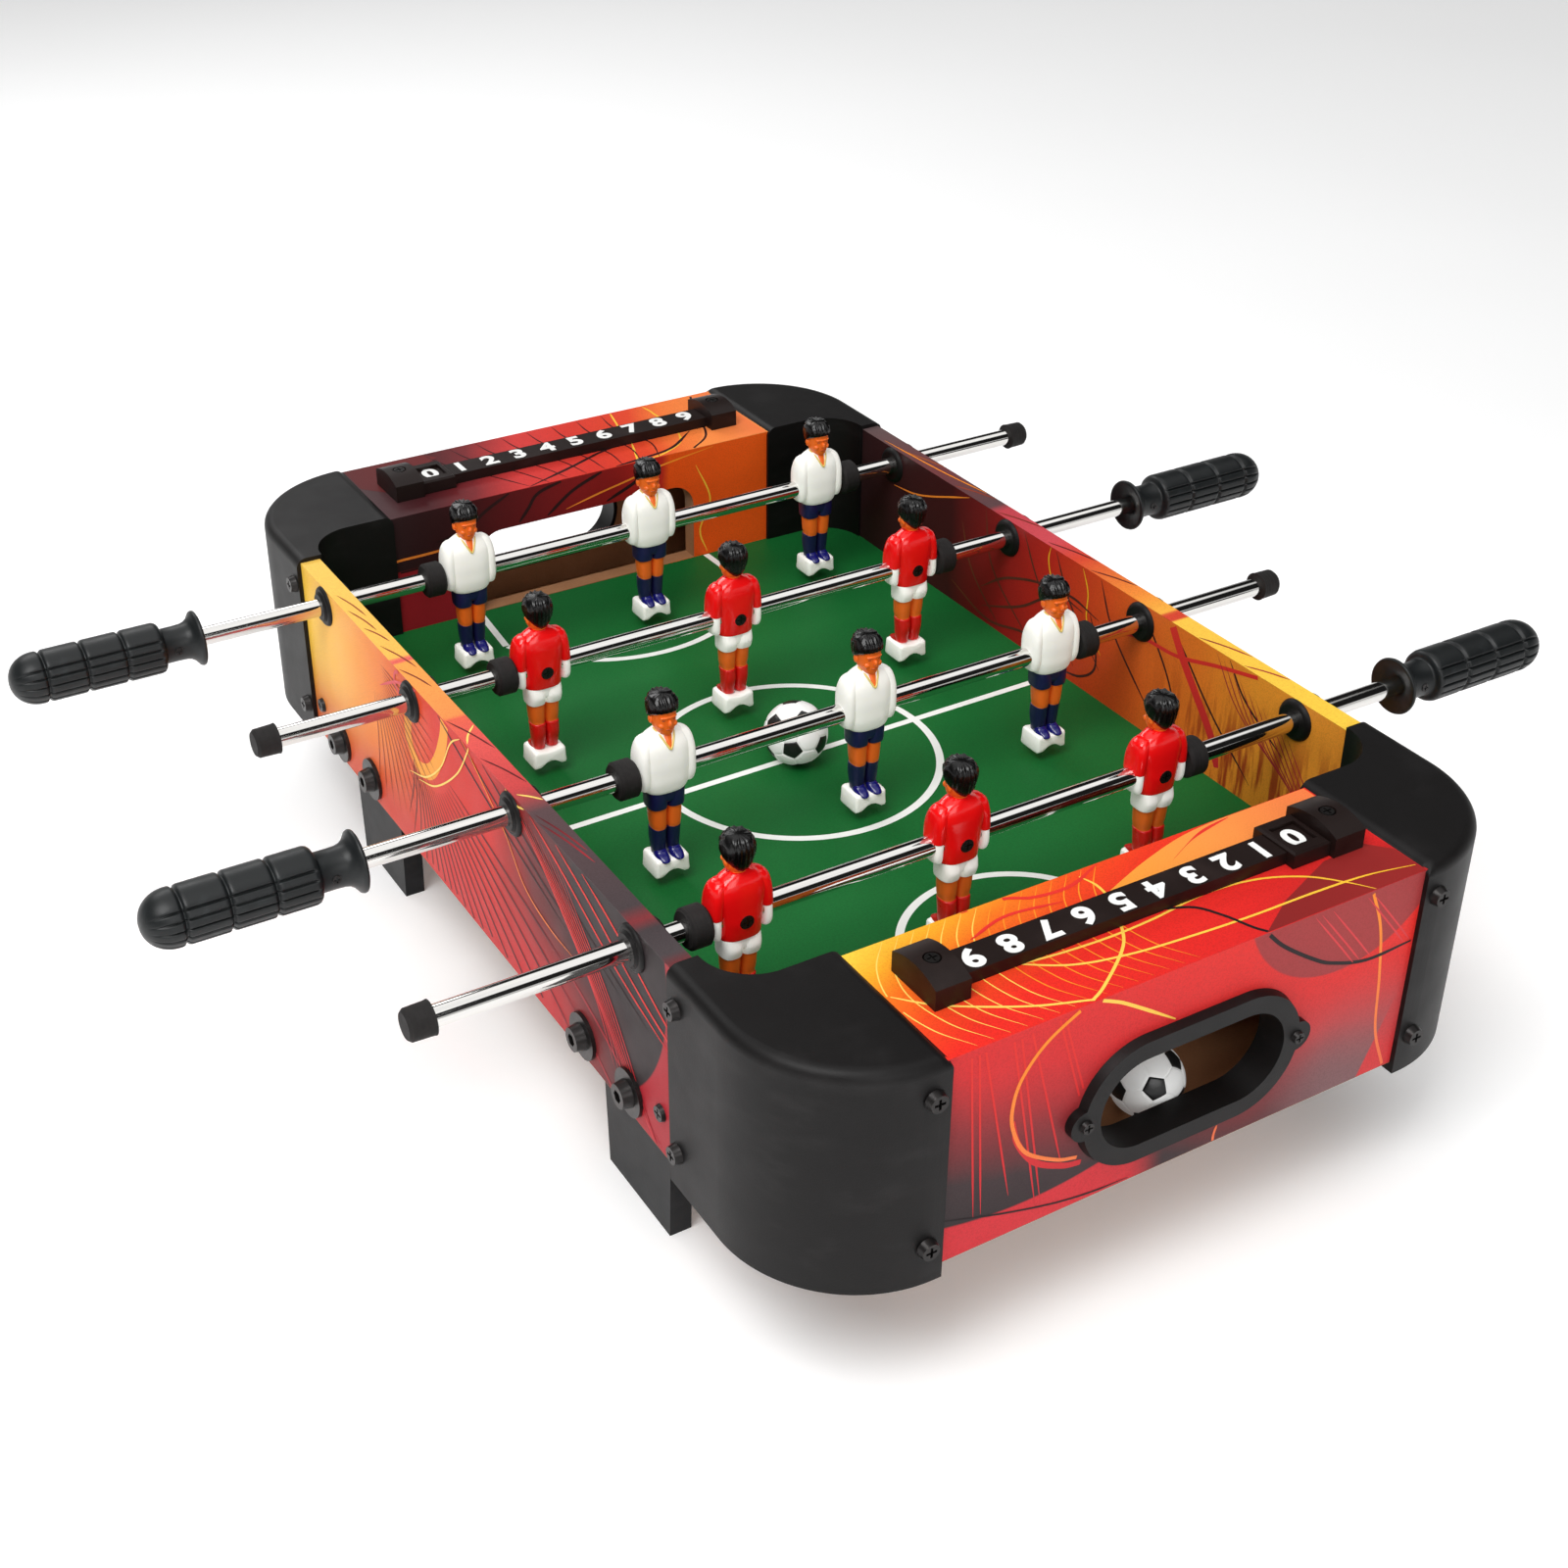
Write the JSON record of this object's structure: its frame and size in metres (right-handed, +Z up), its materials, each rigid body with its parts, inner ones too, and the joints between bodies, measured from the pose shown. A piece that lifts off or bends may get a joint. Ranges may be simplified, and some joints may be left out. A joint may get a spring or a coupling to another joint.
{
  "type": "tabletop foosball",
  "caption": "Tabletop foosball game: printed cabinet with black corner caps and legs, sliding and spinning player rods, score counters, ball returns and balls.",
  "frame": {"origin": "on the tabletop plane under the middle of the playfield, at the underside of the legs", "axes": "+X along the rods, +Y along the length of the table towards the far goal, +Z up"},
  "size_m": [0.588, 0.52, 0.1657],
  "materials": {
    "printed_board": "printed laminate over fibreboard, satin",
    "field": "printed green field, satin",
    "black_plastic": "moulded, fine grain",
    "black_board": "black laminate over fibreboard",
    "black_steel": "black oxide",
    "counter_plastic": "moulded, satin",
    "ball": "white and black, satin",
    "chrome": "polished tube",
    "rubber": "matte",
    "handle_plastic": "satin",
    "white_player": "painted figure",
    "red_player": "painted figure"
  },
  "bodies": {
    "table": {"ball_return_far": "black_plastic", "ball_return_near": "black_plastic", "bushes": "black_plastic", "cap_screws": "black_steel", "corner_cap_far_left": "black_plastic", "corner_cap_far_right": "black_plastic", "corner_cap_near_left": "black_plastic", "corner_cap_near_right": "black_plastic", "end_box_far": "printed_board", "end_box_near": "printed_board", "goal_wall_far": "printed_board", "goal_wall_near": "printed_board", "leg_bolts": "black_steel", "leg_far_left": "black_board", "leg_far_right": "black_board", "leg_near_left": "black_board", "leg_near_right": "black_board", "playfield": "field", "score_bar_far": "counter_plastic", "score_bar_near": "counter_plastic", "side_board_left": "printed_board", "side_board_right": "printed_board", "trim_screws": "black_steel"},
    "rod1_slide": {"rod1_bumpers": "rubber"},
    "rod1_spin": {"rod1_bar": "chrome", "rod1_end_cap": "rubber", "rod1_handle": "handle_plastic", "rod1_screws": "black_steel", "rod1_player_left": "white_player", "rod1_player_middle": "white_player", "rod1_player_right": "white_player"},
    "rod2_slide": {"rod2_bumpers": "rubber"},
    "rod2_spin": {"rod2_bar": "chrome", "rod2_end_cap": "rubber", "rod2_handle": "handle_plastic", "rod2_screws": "black_steel", "rod2_player_left": "red_player", "rod2_player_middle": "red_player", "rod2_player_right": "red_player"},
    "rod3_slide": {"rod3_bumpers": "rubber"},
    "rod3_spin": {"rod3_bar": "chrome", "rod3_end_cap": "rubber", "rod3_handle": "handle_plastic", "rod3_screws": "black_steel", "rod3_player_left": "white_player", "rod3_player_middle": "white_player", "rod3_player_right": "white_player"},
    "rod4_slide": {"rod4_bumpers": "rubber"},
    "rod4_spin": {"rod4_bar": "chrome", "rod4_end_cap": "rubber", "rod4_handle": "handle_plastic", "rod4_screws": "black_steel", "rod4_player_left": "red_player", "rod4_player_middle": "red_player", "rod4_player_right": "red_player"},
    "score_near": {"score_slider_near": "counter_plastic"},
    "score_far": {"score_slider_far": "counter_plastic"},
    "ball_field": {"ball_field": "ball"},
    "ball_box": {"ball_box": "ball"}
  },
  "joints": [
    {"name": "rod1_slide", "type": "slide", "parent": "table", "child": "rod1_slide", "axis": [1, 0, 0], "range_m": [-0.0354, 0.0214]},
    {"name": "rod1_spin", "type": "hinge", "parent": "rod1_slide", "child": "rod1_spin", "pos_m": [0.007, 0.144, 0.132], "axis": [1, 0, 0], "continuous": true},
    {"name": "rod2_slide", "type": "slide", "parent": "table", "child": "rod2_slide", "axis": [1, 0, 0], "range_m": [-0.0254, 0.0314]},
    {"name": "rod2_spin", "type": "hinge", "parent": "rod2_slide", "child": "rod2_spin", "pos_m": [-0.003, 0.048, 0.132], "axis": [1, 0, 0], "continuous": true},
    {"name": "rod3_slide", "type": "slide", "parent": "table", "child": "rod3_slide", "axis": [1, 0, 0], "range_m": [-0.0314, 0.0254]},
    {"name": "rod3_spin", "type": "hinge", "parent": "rod3_slide", "child": "rod3_spin", "pos_m": [0.003, -0.048, 0.132], "axis": [1, 0, 0], "continuous": true},
    {"name": "rod4_slide", "type": "slide", "parent": "table", "child": "rod4_slide", "axis": [1, 0, 0], "range_m": [-0.0084, 0.0484]},
    {"name": "rod4_spin", "type": "hinge", "parent": "rod4_slide", "child": "rod4_spin", "pos_m": [-0.02, -0.144, 0.132], "axis": [1, 0, 0], "continuous": true},
    {"name": "score_near", "type": "slide", "parent": "table", "child": "score_near", "axis": [1, 0, 0], "range_m": [-0.1388, 0]},
    {"name": "score_far", "type": "slide", "parent": "table", "child": "score_far", "axis": [1, 0, 0], "range_m": [0, 0.1388]},
    {"name": "ball_field_roll", "type": "slide", "parent": "table", "child": "ball_field", "axis": [1, 0, 0], "range_m": [-0.1, 0.1]},
    {"name": "ball_box_roll", "type": "slide", "parent": "table", "child": "ball_box", "axis": [1, 0, 0], "range_m": [-0.06, 0.06]}
  ]
}
